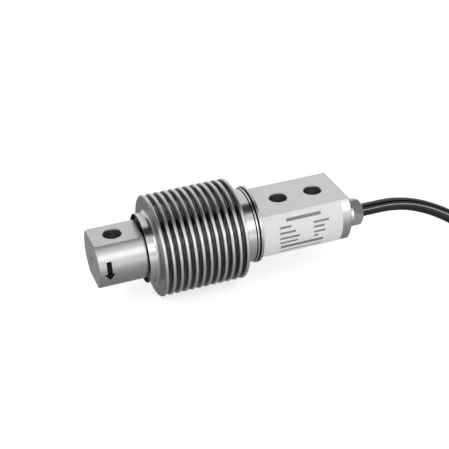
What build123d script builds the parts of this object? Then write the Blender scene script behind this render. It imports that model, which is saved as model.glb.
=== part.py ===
"""Bending-beam load cell with a welded metal bellows, its cable gland and 3 m of cable.

The frame's origin lies between the two fixing holes, on the block's lower ground flat. +X runs from
the load end to the cable end and +Z is up. Sizes are in millimetres.
"""
import os
from math import asin, cos, degrees, radians, sin, sqrt, tan

from build123d import *

# Beam: load end, weld seats, gauge section and fixing block
flat_height = 21.4
load_end_dia = 27.0
load_flat_length = 22.38
load_hole_dia = 8.4
load_hole_offset = 10.3
neck_dia = 21.0
neck_lead = 0.1
front_seat_dia = 29.6
front_seat_length = 3.12
rear_seat_dia = 30.4
rear_seat_length = 7.0
collar_dia = 36.2
collar_width = 1.2
block_dia = 34.5
block_length = 44.3
fixing_hole_dia = 8.4
fixing_hole_spacing = 17.4
fixing_hole_offset = 12.6
runout_radius = 1.6
hole_chamfer = 0.3
edge_chamfer = 0.4
centre_drill_dia = 2.0
centre_drill_depth = 1.6

# Gauge section inside the bellows
gauge_dia = 27.0
gauge_height = 20.6
gauge_flat_inset = 1.5
gauge_hole_dia = 12.0
gauge_hole_spacing = 15.0
gauge_hole_offset = 9.7
slot_height = 4.0
pocket_length = 7.5
pocket_height = 13.0
pocket_floor = 7.0

# Bellows
convolutions = 12
pitch = 3.46
crest_dia = 47.1
root_dia = 34.6
crest_bend = 0.86
sheet = 0.3
front_cuff_length = 2.72
front_flare = 1.9
rear_cuff_length = 4.1
rear_flare = 1.6

# Weld rings
weld_fit = 0.02
front_ring_wall = 0.86
front_ring_inset = 1.2
front_ring_length = 2.6
rear_ring_wall = 1.66
rear_flange_lip = 0.25
rear_flange_width = 0.7
rear_groove_width = 0.7
rear_nose_wall = 0.78
cuff_gap = 0.5
cuff_relief_depth = 0.7

# Strain gauges, terminal board and inner wiring
gauge_length = 7.0
gauge_width = 4.0
gauge_foil = 0.12
pad_size = 1.0
pad_height = 0.2
lead_radius = 0.25
lead_spacing = 0.8
lead_gap = 0.03
lead_bend = 0.6
lead_standoff = 0.6
board_length = 6.5
board_height = 10.4
board_thickness = 1.0
resistor_length = 2.0
resistor_width = 1.2
resistor_height = 0.6
bridge_wire_radius = 0.45
wire_bore_dia = 4.5

# Glass-to-metal feedthrough
feedthrough_dia = 7.0
feedthrough_length = 1.5
glass_dia = 5.2
pin_radius = 0.4
pin_circle_radius = 1.2
pin_overhang = 1.2

# Cable gland
gland_offset = 9.4
gland_bore_dia = 10.0
gland_bore_depth = 8.0
thread_fit = 0.05
gland_collar_dia = 13.2
gland_collar_length = 2.15
gland_stem_clearance = 0.6
gland_inner_dia = 8.6
gland_shoulder = 2.0
cable_clearance = 0.2
seal_fit = 0.04
washer_thickness = 0.6
nut_across_flats = 11.8
nut_length = 5.05
nut_turn = 38.0
nut_end_dia = 10.6
o_ring_section = 0.9
o_ring_seat_dia = 11.9
o_ring_seat_depth = 0.95

# Label
label_start = 0.25
label_length = 39.35
label_thickness = 0.1
label_top_margin = 0.4
label_bottom_margin = 0.05

# Cable, hank and stripped end
cable_dia = 6.2
jacket_start = 6.0
surface_drop = 23.54
hank_start = 103.0
hank_middle_y = -2.0
hank_straight = 66.0
hank_inner_radius = 15.5
hank_layers = 6.5
hank_lead_in = 18.0
tie_width = 3.6
tie_thickness = 1.0
tie_fit = 0.1
tie_head = 5.0
tail_start_inset = 6.0
tail_turn = 30.0
tail_first = 20.0
tail_last = 20.0
sleeve_wall = 0.5
sleeve_cover = 7.0
sleeve_overhang = 4.0
sleeve_lift = 0.15
core_radius = 0.65
core_circle_radius = 1.35
core_straight = 6.0
core_drop = 6.0
core_last = 3.0
core_bend = 3.0
core_fan = 2.6
core_fan_slope = 0.15
ferrule_radius = 0.75
ferrule_length = 6.0

# Round sizes that follow from the seats, the rings' walls and the sheet
front_ring_radius = front_seat_dia / 2 + weld_fit + front_ring_wall
rear_ring_radius = rear_seat_dia / 2 + weld_fit + rear_ring_wall
front_cuff_dia = 2 * (front_ring_radius + weld_fit + sheet)
rear_cuff_dia = 2 * (rear_ring_radius + weld_fit + sheet)

# Places along the beam, worked out from the cable end towards the load end
axis_height = flat_height / 2
block_end_x = fixing_hole_spacing / 2 + fixing_hole_offset
collar_rear_x = block_end_x - block_length
collar_front_x = collar_rear_x - collar_width
rear_seat_x = collar_front_x - rear_seat_length
flange_rear_x = collar_front_x - rear_groove_width
flange_front_x = flange_rear_x - rear_flange_width
bellows_end_x = flange_front_x - cuff_gap
last_crest_x = bellows_end_x - rear_cuff_length - rear_flare - crest_bend
first_crest_x = last_crest_x - (convolutions - 1) * pitch
bellows_start_x = first_crest_x - crest_bend - front_flare - front_cuff_length
front_ring_x = bellows_start_x + front_ring_inset
load_end_rear_x = bellows_start_x - neck_lead
load_face_x = load_end_rear_x - load_flat_length
front_seat_end_x = front_ring_x + front_seat_length
gauge_front_x = front_seat_end_x + gauge_hole_offset
gauge_rear_x = gauge_front_x + gauge_hole_spacing
pocket_start_x = rear_seat_x - pocket_length
surface_z = axis_height - surface_drop

beam_axis = Axis((0, 0, axis_height), (1, 0, 0))
gland_axis = Axis((0, -gland_offset, axis_height), (1, 0, 0))
beam_side = Plane(origin=(0, 0, axis_height), x_dir=(1, 0, 0), z_dir=(0, -1, 0))
gland_side = Plane(origin=(block_end_x, -gland_offset, axis_height), x_dir=(1, 0, 0), z_dir=(0, -1, 0))
end_face = Plane(origin=(block_end_x, 0, axis_height), x_dir=(0, 1, 0), z_dir=(1, 0, 0))


def gland_face(distance):
    """A plane across the gland's axis, this far out of the block's end face."""
    place = (block_end_x + distance, -gland_offset, axis_height)
    return Plane(origin=place, x_dir=(0, 1, 0), z_dir=(1, 0, 0))


def wire(points, radius, bend):
    """A round wire along straight runs with bends between them."""
    with BuildPart() as made:
        with BuildLine():
            FilletPolyline(*points, radius=bend)
        with BuildSketch(Plane(origin=points[0], z_dir=Vector(points[1]) - Vector(points[0]))):
            Circle(radius)
        sweep()
    return made.part


def widest_bends(points):
    """Each corner's arc radius: 0.45 of its shorter run over the tangent of half its turn."""
    corners = [Vector(point) for point in points]
    bends = []
    for before, corner, after in zip(corners, corners[1:], corners[2:]):
        arriving = corner - before
        leaving = after - corner
        half_turn = radians(arriving.get_angle(leaving)) / 2
        bends.append(0.45 * min(arriving.length, leaving.length) / tan(half_turn))
    return bends


os.makedirs("parts", exist_ok=True)

# Beam body: turned from bar, then milled and bored
with BuildPart() as beam_body:
    with BuildSketch(beam_side):
        with BuildLine():
            Polyline(
                (load_face_x, 0),
                (load_face_x, load_end_dia / 2),
                (load_end_rear_x, load_end_dia / 2),
                (load_end_rear_x, neck_dia / 2),
                (front_ring_x, neck_dia / 2),
                (front_ring_x, front_seat_dia / 2),
                (front_seat_end_x, front_seat_dia / 2),
                (front_seat_end_x, gauge_dia / 2),
                (rear_seat_x, gauge_dia / 2),
                (rear_seat_x, rear_seat_dia / 2),
                (collar_front_x, rear_seat_dia / 2),
                (collar_front_x, collar_dia / 2),
                (collar_rear_x, collar_dia / 2),
                (collar_rear_x, block_dia / 2),
                (block_end_x, block_dia / 2),
                (block_end_x, 0),
                close=True,
            )
        make_face()
    revolve(axis=beam_axis)
    rims = beam_body.edges().filter_by(GeomType.CIRCLE)
    chamfer([rims.sort_by(Axis.X)[0], rims.sort_by(Axis.X)[-1]], edge_chamfer)

    # The ground flats: the load end's run out over the neck, the others end in the cutter's radius
    flats_end_x = (load_end_rear_x + front_ring_x) / 2
    for side in (1, -1):
        flat_z = side * flat_height / 2
        gauge_z = side * gauge_height / 2
        far = side * collar_dia
        with BuildSketch(beam_side) as flats:
            with BuildLine():
                Polyline(
                    (load_face_x - edge_chamfer, flat_z),
                    (flats_end_x, flat_z),
                    (flats_end_x, far),
                    (load_face_x - edge_chamfer, far),
                    close=True,
                )
            make_face()
            with BuildLine():
                FilletPolyline(
                    (collar_rear_x, far),
                    (collar_rear_x, flat_z),
                    (block_end_x + edge_chamfer, flat_z),
                    radius=runout_radius,
                )
                Polyline(
                    (block_end_x + edge_chamfer, flat_z),
                    (block_end_x + edge_chamfer, far),
                    (collar_rear_x, far),
                )
            make_face()
            with BuildLine():
                FilletPolyline(
                    (front_seat_end_x + gauge_flat_inset, far),
                    (front_seat_end_x + gauge_flat_inset, gauge_z),
                    (rear_seat_x - gauge_flat_inset, gauge_z),
                    (rear_seat_x - gauge_flat_inset, far),
                    radius=runout_radius / 2,
                )
                Line((rear_seat_x - gauge_flat_inset, far), (front_seat_end_x + gauge_flat_inset, far))
            make_face()
        extrude(amount=collar_dia, both=True, mode=Mode.SUBTRACT)

    # Two cross bores and a slot leave the thin webs that the gauges sit on
    with BuildSketch(beam_side):
        with Locations((gauge_front_x, 0), (gauge_rear_x, 0)):
            Circle(gauge_hole_dia / 2)
        with Locations(((gauge_front_x + gauge_rear_x) / 2, 0)):
            Rectangle(gauge_hole_spacing, slot_height)
    extrude(amount=gauge_dia, both=True, mode=Mode.SUBTRACT)

    # Pocket for the terminal board
    with BuildSketch(beam_side.offset(pocket_floor)):
        with Locations((rear_seat_x - pocket_length / 2, 0)):
            Rectangle(pocket_length, pocket_height)
    extrude(amount=gauge_dia, mode=Mode.SUBTRACT)

    # Bores beside the fixing holes: wire bore, feedthrough seat, gland bore and O-ring seat
    feedthrough_depth = gland_bore_depth + feedthrough_length
    bores = [
        (wire_bore_dia, block_end_x - rear_seat_x),
        (feedthrough_dia, feedthrough_depth),
        (gland_bore_dia, gland_bore_depth),
        (o_ring_seat_dia, o_ring_seat_depth),
    ]
    for bore_dia, bore_depth in bores:
        with BuildSketch(gland_face(0)):
            Circle(bore_dia / 2)
        extrude(amount=-bore_depth, mode=Mode.SUBTRACT)

    # Load hole and fixing holes, straight through between the flats
    holes = [(load_face_x + load_hole_offset, load_hole_dia)]
    holes += [(place * fixing_hole_spacing / 2, fixing_hole_dia) for place in (-1, 1)]
    for hole_x, hole_dia in holes:
        with BuildSketch(Plane.XY):
            with Locations((hole_x, 0)):
                Circle(hole_dia / 2)
        extrude(amount=flat_height, mode=Mode.SUBTRACT)
        for rim_z in (0, flat_height):
            near = Vector(hole_x, 0, rim_z)
            rim = beam_body.edges().filter_by(GeomType.CIRCLE).sort_by_distance(near)[0]
            chamfer(rim, hole_chamfer)

    # Centre drilling that is left from turning, in the load end's face
    with BuildSketch(beam_side):
        with BuildLine():
            Polyline(
                (load_face_x, 0),
                (load_face_x, centre_drill_dia / 2),
                (load_face_x + centre_drill_depth, 0),
                close=True,
            )
        make_face()
    revolve(axis=beam_axis, mode=Mode.SUBTRACT)
beam_body.part.label = "beam_body"
export_step(beam_body.part, "parts/beam_body.step")

# Bellows: one thin wall. Both of its faces are drawn by the same steps, a sheet's thickness apart.
root_bend = pitch / 2 - crest_bend
crest_centre = crest_dia / 2 - crest_bend
root_centre = root_dia / 2 + root_bend
front_flare_centre = front_cuff_dia / 2 + front_flare
rear_flare_centre = rear_cuff_dia / 2 + rear_flare


def bellows_face(inward):
    """The bellows' outer face, or the line that lies this far inside it."""
    crest = crest_bend - inward
    root = root_bend + inward
    front = front_flare + inward
    rear = rear_flare + inward
    flare_start = bellows_start_x + front_cuff_length
    flare_end = bellows_end_x - rear_cuff_length
    Line((bellows_start_x, front_cuff_dia / 2 - inward), (flare_start, front_cuff_dia / 2 - inward))
    CenterArc((flare_start, front_flare_centre), front, -90, 90)
    Line((first_crest_x - crest, front_flare_centre), (first_crest_x - crest, crest_centre))
    for turn in range(convolutions):
        crest_x = first_crest_x + turn * pitch
        CenterArc((crest_x, crest_centre), crest, 0, 180)
        if turn < convolutions - 1:
            Line((crest_x + crest, crest_centre), (crest_x + crest, root_centre))
            CenterArc((crest_x + pitch / 2, root_centre), root, 180, 180)
            Line((crest_x + pitch - crest, root_centre), (crest_x + pitch - crest, crest_centre))
    Line((last_crest_x + crest, crest_centre), (last_crest_x + crest, rear_flare_centre))
    CenterArc((flare_end, rear_flare_centre), rear, 180, 90)
    Line((flare_end, rear_cuff_dia / 2 - inward), (bellows_end_x, rear_cuff_dia / 2 - inward))


with BuildPart() as bellows:
    with BuildSketch(beam_side):
        with BuildLine():
            bellows_face(0)
            bellows_face(sheet)
            Line((bellows_start_x, front_cuff_dia / 2), (bellows_start_x, front_cuff_dia / 2 - sheet))
            Line((bellows_end_x, rear_cuff_dia / 2), (bellows_end_x, rear_cuff_dia / 2 - sheet))
        make_face()
    revolve(axis=beam_axis)
bellows.part.label = "bellows"
export_step(bellows.part, "parts/bellows.step")

# Weld rings: each fills the space between a seat on the beam and a cuff of the bellows
with BuildPart() as front_weld_ring:
    with BuildSketch(beam_side):
        with BuildLine():
            Polyline(
                (front_ring_x, front_seat_dia / 2 + weld_fit),
                (front_ring_x, front_ring_radius),
                (front_ring_x + front_ring_length, front_ring_radius),
                (front_ring_x + front_ring_length, front_seat_dia / 2 + weld_fit),
                close=True,
            )
        make_face()
    revolve(axis=beam_axis)
front_weld_ring.part.label = "front_weld_ring"
export_step(front_weld_ring.part, "parts/front_weld_ring.step")

flange_radius = rear_cuff_dia / 2 + rear_flange_lip
nose_radius = rear_seat_dia / 2 + weld_fit + rear_nose_wall
with BuildPart() as rear_weld_ring:
    with BuildSketch(beam_side):
        with BuildLine():
            Polyline(
                (bellows_end_x - rear_cuff_length, rear_seat_dia / 2 + weld_fit),
                (bellows_end_x - rear_cuff_length, rear_ring_radius),
                (bellows_end_x, rear_ring_radius),
                (bellows_end_x, rear_ring_radius - cuff_relief_depth),
                (flange_front_x, rear_ring_radius - cuff_relief_depth),
                (flange_front_x, flange_radius),
                (flange_rear_x, flange_radius),
                (flange_rear_x, nose_radius),
                (collar_front_x, nose_radius),
                (collar_front_x, rear_seat_dia / 2 + weld_fit),
                close=True,
            )
        make_face()
    revolve(axis=beam_axis)
rear_weld_ring.part.label = "rear_weld_ring"
export_step(rear_weld_ring.part, "parts/rear_weld_ring.step")

# Foil strain gauges, one over each end of each thin web, and the lead pairs to the terminal board
board_x = rear_seat_x - pocket_length + (pocket_length - board_length) / 2
board_face = pocket_floor + board_thickness
lead_height = gauge_height / 2 + lead_radius + lead_gap
lead_path_radius = gauge_dia / 2 + lead_standoff
board_lead_height = board_height / 2 - lead_spacing
lane_start = gauge_width / 2 + 2 * lead_spacing
gauge_places = [("front", gauge_front_x), ("rear", gauge_rear_x)]
for side_name, side in (("top", 1), ("bottom", -1)):
    for row, (place_name, gauge_x) in enumerate(gauge_places):
        web = Plane(origin=(gauge_x, 0, axis_height + side * gauge_height / 2), z_dir=(0, 0, side))
        with BuildPart() as gauge:
            with BuildSketch(web):
                RectangleRounded(gauge_length, gauge_width, pad_size / 2)
            extrude(amount=gauge_foil)
            with BuildSketch(web.offset(gauge_foil)):
                with Locations((gauge_length / 2 - pad_size, 0)):
                    with GridLocations(0, gauge_width / 2, 1, 2):
                        Rectangle(pad_size, pad_size)
            extrude(amount=pad_height)
        gauge.part.label = f"gauge_{side_name}_{place_name}"
        export_step(gauge.part, f"parts/{gauge.part.label}.step")

        pair = []
        for number, pad in ((0, -1), (1, 1)):
            lane = -lane_start + lead_spacing * number if row == 0 else -lead_spacing * (2 - number)
            station_x = board_x + lead_spacing * (0.8 + 2 * row + number)
            lead_x = gauge_x + gauge_length / 2 + lead_radius
            edge_y = sqrt(lead_path_radius**2 - lead_height**2)
            low_angle = asin(board_lead_height / lead_path_radius)
            high_angle = asin(lead_height / lead_path_radius)
            mid_angle = (low_angle + high_angle) / 2
            mid_radius = lead_path_radius + lead_radius
            around = [
                (edge_y, lead_height),
                (mid_radius * cos(mid_angle), mid_radius * sin(mid_angle)),
                (lead_path_radius * cos(low_angle), board_lead_height),
                (board_face + lead_radius + lead_gap, board_lead_height - lead_spacing / 2),
            ]
            points = [
                (lead_x, pad * gauge_width / 4, axis_height + side * lead_height),
                (lead_x + 2 * lead_spacing, lane, axis_height + side * lead_height),
                (station_x, lane, axis_height + side * lead_height),
            ]
            points += [(station_x, -out, axis_height + side * up) for out, up in around]
            pair.append(wire(points, lead_radius, lead_bend))
        leads = Compound(label=f"leads_{side_name}_{place_name}", children=pair)
        export_step(leads, f"parts/{leads.label}.step")

# Terminal board, glued to the pocket's floor, with its two compensation resistors
with BuildPart() as terminal_board:
    with BuildSketch(beam_side.offset(pocket_floor)):
        with Locations((board_x + board_length / 2, 0)):
            RectangleRounded(board_length, board_height, edge_chamfer)
    extrude(amount=board_thickness)
terminal_board.part.label = "terminal_board"
export_step(terminal_board.part, "parts/terminal_board.step")

resistor_x = board_x + board_length - resistor_width
for resistor_name, side in (("span_resistor", 1), ("zero_resistor", -1)):
    with BuildPart() as resistor:
        with BuildSketch(beam_side.offset(board_face)):
            with Locations((resistor_x, side * (board_height - resistor_length) / 2 - side * edge_chamfer)):
                Rectangle(resistor_width, resistor_length)
        extrude(amount=resistor_height)
        chamfer(resistor.edges().filter_by(Axis.Y), resistor_height / 6)
    resistor.part.label = resistor_name
    export_step(resistor.part, f"parts/{resistor_name}.step")

# Glass-to-metal feedthrough at the bottom of the gland bore
with BuildPart() as feedthrough_ring:
    with BuildSketch(gland_face(-gland_bore_depth)):
        Circle(feedthrough_dia / 2 - weld_fit)
        Circle(glass_dia / 2, mode=Mode.SUBTRACT)
    extrude(amount=-feedthrough_length)
feedthrough_ring.part.label = "feedthrough_ring"
export_step(feedthrough_ring.part, "parts/feedthrough_ring.step")

with BuildPart() as feedthrough_glass:
    with BuildSketch(gland_face(-gland_bore_depth)):
        Circle(glass_dia / 2 - weld_fit)
        with PolarLocations(pin_circle_radius, 4, start_angle=45):
            Circle(pin_radius + weld_fit, mode=Mode.SUBTRACT)
    extrude(amount=-feedthrough_length)
feedthrough_glass.part.label = "feedthrough_glass"
export_step(feedthrough_glass.part, "parts/feedthrough_glass.step")

pin_inner_x = block_end_x - feedthrough_depth - pin_overhang
with BuildPart() as feedthrough_pins:
    with BuildSketch(gland_face(pin_overhang - gland_bore_depth)):
        with PolarLocations(pin_circle_radius, 4, start_angle=45):
            Circle(pin_radius)
    extrude(amount=-feedthrough_length - 2 * pin_overhang)
feedthrough_pins.part.label = "feedthrough_pins"
export_step(feedthrough_pins.part, "parts/feedthrough_pins.step")

# Bridge wires from the pins through the long bore, down to the terminal board
bridge = []
for number in range(4):
    angle = radians(45 + 90 * number)
    wire_y = -gland_offset + pin_circle_radius * cos(angle)
    wire_z = axis_height + pin_circle_radius * sin(angle)
    pad_z = axis_height + pin_circle_radius * (1.5 * sin(angle) + 0.5 * (1 if cos(angle) > 0 else -1))
    points = [
        (pin_inner_x, wire_y, wire_z),
        (rear_seat_x - resistor_width, wire_y, wire_z),
        (board_x + 2 * resistor_width, -board_face - bridge_wire_radius - lead_gap, pad_z),
    ]
    bridge.append(wire(points, bridge_wire_radius, 2 * bridge_wire_radius))
bridge_wires = Compound(label="bridge_wires", children=bridge)
export_step(bridge_wires, "parts/bridge_wires.step")

# Cable cores between the pins and the jacket's stripped end
with BuildPart() as cable_core_ends:
    with BuildSketch(gland_face(pin_overhang - gland_bore_depth)):
        with PolarLocations(pin_circle_radius, 4, start_angle=45):
            Circle(core_radius)
    extrude(amount=gland_bore_depth - pin_overhang - jacket_start)
cable_core_ends.part.label = "cable_core_ends"
export_step(cable_core_ends.part, "parts/cable_core_ends.step")

# Gland: body with its collar on the end face, seal, thrust washer, pressure nut and O-ring
stem_length = gland_bore_depth - gland_stem_clearance
seal_start = gland_shoulder - stem_length
cable_hole = cable_dia / 2 + cable_clearance
with BuildPart() as gland_body:
    with BuildSketch(gland_side):
        with BuildLine():
            Polyline(
                (-stem_length, cable_hole),
                (-stem_length, gland_bore_dia / 2 - thread_fit),
                (0, gland_bore_dia / 2 - thread_fit),
                (0, gland_collar_dia / 2),
                (gland_collar_length, gland_collar_dia / 2),
                (gland_collar_length, gland_inner_dia / 2),
                (seal_start, gland_inner_dia / 2),
                (seal_start, cable_hole),
                close=True,
            )
        make_face()
    revolve(axis=gland_axis)
    rims = gland_body.edges().filter_by(GeomType.CIRCLE).sort_by(SortBy.RADIUS)[-2:]
    chamfer(rims.sort_by(Axis.X)[-1], hole_chamfer)
gland_body.part.label = "gland_body"
export_step(gland_body.part, "parts/gland_body.step")

with BuildPart() as gland_seal:
    with BuildSketch(gland_face(seal_start + seal_fit)):
        Circle(gland_inner_dia / 2 - seal_fit)
        Circle(cable_dia / 2 + seal_fit, mode=Mode.SUBTRACT)
    extrude(amount=-seal_start - washer_thickness - 2 * seal_fit)
gland_seal.part.label = "gland_seal"
export_step(gland_seal.part, "parts/gland_seal.step")

with BuildPart() as gland_thrust_washer:
    with BuildSketch(gland_face(0)):
        Circle(gland_inner_dia / 2 - 2 * seal_fit)
        Circle(cable_hole, mode=Mode.SUBTRACT)
    extrude(amount=-washer_thickness)
gland_thrust_washer.part.label = "gland_thrust_washer"
export_step(gland_thrust_washer.part, "parts/gland_thrust_washer.step")

nut_end = gland_collar_length + nut_length
nut_corner_radius = nut_across_flats / sqrt(3)
nut_blank_radius = nut_corner_radius + edge_chamfer
with BuildPart() as gland_nut:
    with BuildSketch(gland_face(gland_collar_length)):
        RegularPolygon(nut_corner_radius, 6, rotation=nut_turn)
    extrude(amount=nut_length)
    # Turned chamfer that rounds the hexagon's outer corners
    with BuildSketch(gland_side):
        with BuildLine():
            Polyline(
                (0, 0),
                (0, nut_blank_radius),
                (nut_end - (nut_blank_radius - nut_end_dia / 2), nut_blank_radius),
                (nut_end, nut_end_dia / 2),
                (nut_end, 0),
                close=True,
            )
        make_face()
    revolve(axis=gland_axis, mode=Mode.INTERSECT)
    with BuildSketch(gland_face(0)):
        Circle(gland_inner_dia / 2 - thread_fit)
    extrude(amount=gland_collar_length)
    with BuildSketch(gland_face(0)):
        Circle(cable_hole)
    extrude(amount=nut_end, mode=Mode.SUBTRACT)
    mouth = Vector(block_end_x + nut_end, -gland_offset, axis_height)
    chamfer(gland_nut.edges().filter_by(GeomType.CIRCLE).sort_by_distance(mouth)[0], hole_chamfer)
gland_nut.part.label = "gland_nut"
export_step(gland_nut.part, "parts/gland_nut.step")

with BuildPart() as gland_o_ring:
    with BuildSketch(gland_side):
        with Locations((-o_ring_seat_depth / 2, gland_bore_dia / 2 + o_ring_section / 2)):
            Circle(o_ring_section / 2)
    revolve(axis=gland_axis)
gland_o_ring.part.label = "gland_o_ring"
export_step(gland_o_ring.part, "parts/gland_o_ring.step")

# Label: a foil that wraps the block's round side, from its upper edge to its lower one
label_inner = block_dia / 2 + weld_fit
label_outer = label_inner + label_thickness
label_top = degrees(asin((flat_height / 2 - label_top_margin) / label_outer))
label_bottom = degrees(asin((flat_height / 2 - label_bottom_margin) / label_outer))
with BuildPart() as label:
    with BuildSketch(end_face.offset(collar_rear_x + label_start - block_end_x)):
        with BuildLine():
            for radius in (label_inner, label_outer):
                CenterArc((0, 0), radius, 180 - label_top, label_top + label_bottom)
            for angle in (180 - label_top, 180 + label_bottom):
                along = Vector(cos(radians(angle)), sin(radians(angle)))
                Line(along * label_inner, along * label_outer)
        make_face()
    extrude(amount=label_length)
label.part.label = "label"
export_step(label.part, "parts/label.step")

# Cable from the gland to the hank: a route of points chosen by hand
cable_radius = cable_dia / 2
hank_bottom = surface_z + tie_thickness + tie_fit
hank_outer_radius = hank_inner_radius + 2 * cable_dia
hank_left_x = hank_start + hank_outer_radius
hank_right_x = hank_left_x + hank_straight
hank_height = hank_layers * cable_dia
strand_z = hank_bottom + cable_radius
lead_in_x = hank_left_x - hank_lead_in
lead_in_y = hank_middle_y - hank_outer_radius + cable_radius
cable_route = [
    (block_end_x - jacket_start, -gland_offset, axis_height),
    (30.2, -gland_offset, axis_height),
    (50.2, -10.0, 9.3),
    (68.0, -15.4, 2.0),
    (82.6, -23.2, -5.2),
    (98.6, lead_in_y, strand_z),
    (lead_in_x, lead_in_y, strand_z),
]


def cord_tube(points):
    """A round tube of the cable's size along these points, with each bend as wide as its runs allow."""
    bends = widest_bends(points)
    with BuildPart() as tube:
        with BuildLine() as middle:
            FilletPolyline(*points, radius=bends)
        with BuildSketch(Plane(origin=points[0], z_dir=Vector(points[1]) - Vector(points[0]))):
            Circle(cable_radius)
        sweep()
    length = middle.wire().length
    share = tube.part.volume / (Circle(cable_radius, mode=Mode.PRIVATE).area * length)
    print("bends", [round(bend, 1) for bend in bends], "length", round(length, 1), "volume share", round(share, 4))
    return tube.part


cable = cord_tube(cable_route)
cable.label = "cable"
export_step(cable, "parts/cable.step")

# Hank: the put-away length, as one solid of its outer shape, with the strand that comes in
hank_middle_x = (hank_left_x + hank_right_x) / 2
tail_start_x = hank_right_x - tail_start_inset
tail_y = hank_middle_y + hank_inner_radius + cable_radius
with BuildPart() as cable_hank:
    with BuildSketch(Plane.XY.offset(hank_bottom)):
        with Locations((hank_middle_x, hank_middle_y)):
            SlotCenterToCenter(hank_straight, 2 * hank_outer_radius)
            SlotCenterToCenter(hank_straight, 2 * hank_inner_radius, mode=Mode.SUBTRACT)
    extrude(amount=hank_height)
    with BuildSketch(Plane.YZ.offset(lead_in_x)):
        with Locations((lead_in_y, strand_z)):
            Circle(cable_radius)
    extrude(amount=hank_lead_in)
    # The last strand leaves along the inside of the back straight, in the bottom layer
    notch_radius = cable_radius + sleeve_wall + tie_fit
    with BuildSketch(Plane.YZ.offset(hank_left_x)):
        with Locations((tail_y, strand_z)):
            Circle(notch_radius)
        with Locations((tail_y - notch_radius, strand_z)):
            Rectangle(2 * notch_radius, 2 * notch_radius)
        with Locations((tail_y, strand_z - notch_radius)):
            Rectangle(2 * notch_radius, 2 * notch_radius)
    extrude(amount=tail_start_x - hank_left_x, mode=Mode.SUBTRACT)
cable_hank.part.label = "cable_hank"
export_step(cable_hank.part, "parts/cable_hank.step")

# Ties: one strap round each straight of the hank, with its head on the outer side
tie_inner_width = 2 * (cable_dia + tie_fit)
tie_inner_height = hank_height + 2 * tie_fit
tie_places = [
    ("tie_front_side", -1, hank_middle_x),
    ("tie_back_side", 1, tail_start_x - tie_width - tie_fit),
]
for tie_name, side, tie_x in tie_places:
    strap_y = hank_middle_y + side * (hank_inner_radius + cable_dia)
    strap_z = hank_bottom + hank_height / 2
    with BuildPart() as tie:
        with BuildSketch(Plane.YZ.offset(tie_x - tie_width / 2)):
            with Locations((strap_y, strap_z)):
                RectangleRounded(
                    tie_inner_width + 2 * tie_thickness, tie_inner_height + 2 * tie_thickness, tie_thickness
                )
                Rectangle(tie_inner_width, tie_inner_height, mode=Mode.SUBTRACT)
        extrude(amount=tie_width)
        with BuildSketch(Plane.XY.offset(strap_z - tie_head / 2)):
            with Locations((tie_x, strap_y + side * (tie_inner_width / 2 + tie_thickness + tie_head / 4))):
                Rectangle(tie_head, tie_head / 2)
        extrude(amount=tie_head)
    tie.part.label = tie_name
    export_step(tie.part, f"parts/{tie_name}.step")

# The cable's last stretch, from the hank's last strand to the stripped end
tail_turn_x = tail_start_x - tail_first
tail_end_z = surface_z + cable_radius + sleeve_wall + sleeve_lift
tail_route = [
    (tail_start_x, tail_y, strand_z),
    (tail_turn_x, tail_y, strand_z),
    (
        tail_turn_x - tail_last * cos(radians(tail_turn)),
        tail_y - tail_last * sin(radians(tail_turn)),
        tail_end_z,
    ),
]
cable_tail = cord_tube(tail_route)
cable_tail.label = "cable_tail"
export_step(cable_tail, "parts/cable_tail.step")

# Heat-shrink sleeve over the jacket's end
jacket_end = Vector(tail_route[-1])
onward = (jacket_end - Vector(tail_route[-2])).normalized()
across = Vector(0, 0, 1).cross(onward).normalized()
upward = onward.cross(across)
with BuildPart() as end_sleeve:
    with BuildSketch(Plane(origin=jacket_end - onward * sleeve_cover, x_dir=across, z_dir=onward)):
        Circle(cable_radius + sleeve_wall)
        Circle(cable_radius + weld_fit, mode=Mode.SUBTRACT)
    extrude(amount=sleeve_cover + sleeve_overhang)
end_sleeve.part.label = "end_sleeve"
export_step(end_sleeve.part, "parts/end_sleeve.step")

# Cores and shield, fanned out over the surface, each with a crimped ferrule on its end
level_z = surface_z + ferrule_radius + weld_fit
fan_order = [("core_red", 162), ("core_black", 234), ("shield_tail", 90), ("core_green", 306), ("core_white", 18)]
ferrules = []
for number, (core_name, angle) in enumerate(fan_order):
    spread = number - 2
    start = jacket_end
    start += across * core_circle_radius * cos(radians(angle))
    start += upward * core_circle_radius * sin(radians(angle))
    second = start + onward * core_straight
    landing = jacket_end + onward * (core_straight + core_drop) + across * core_fan * spread
    outward = (onward + across * core_fan_slope * spread).normalized()
    end = landing + outward * core_last
    points = [start, second, (landing.X, landing.Y, level_z), (end.X, end.Y, level_z)]
    core = wire(points, core_radius, core_bend)
    core.label = core_name
    export_step(core, f"parts/{core_name}.step")
    last_run = Vector(points[-1]) - Vector(points[-2])
    with BuildPart() as ferrule:
        with BuildSketch(Plane(origin=points[-1], z_dir=last_run)):
            Circle(ferrule_radius)
        extrude(amount=ferrule_length)
    ferrules.append(ferrule.part)
core_ferrules = Compound(label="core_ferrules", children=ferrules)
export_step(core_ferrules, "parts/core_ferrules.step")
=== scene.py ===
"""Weighing load cell: stainless bending beam with a welded bellows, its gland and 3 m of cable."""
from math import cos, pi, radians, sin

import bpy
from mathutils import Matrix, Vector


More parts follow.
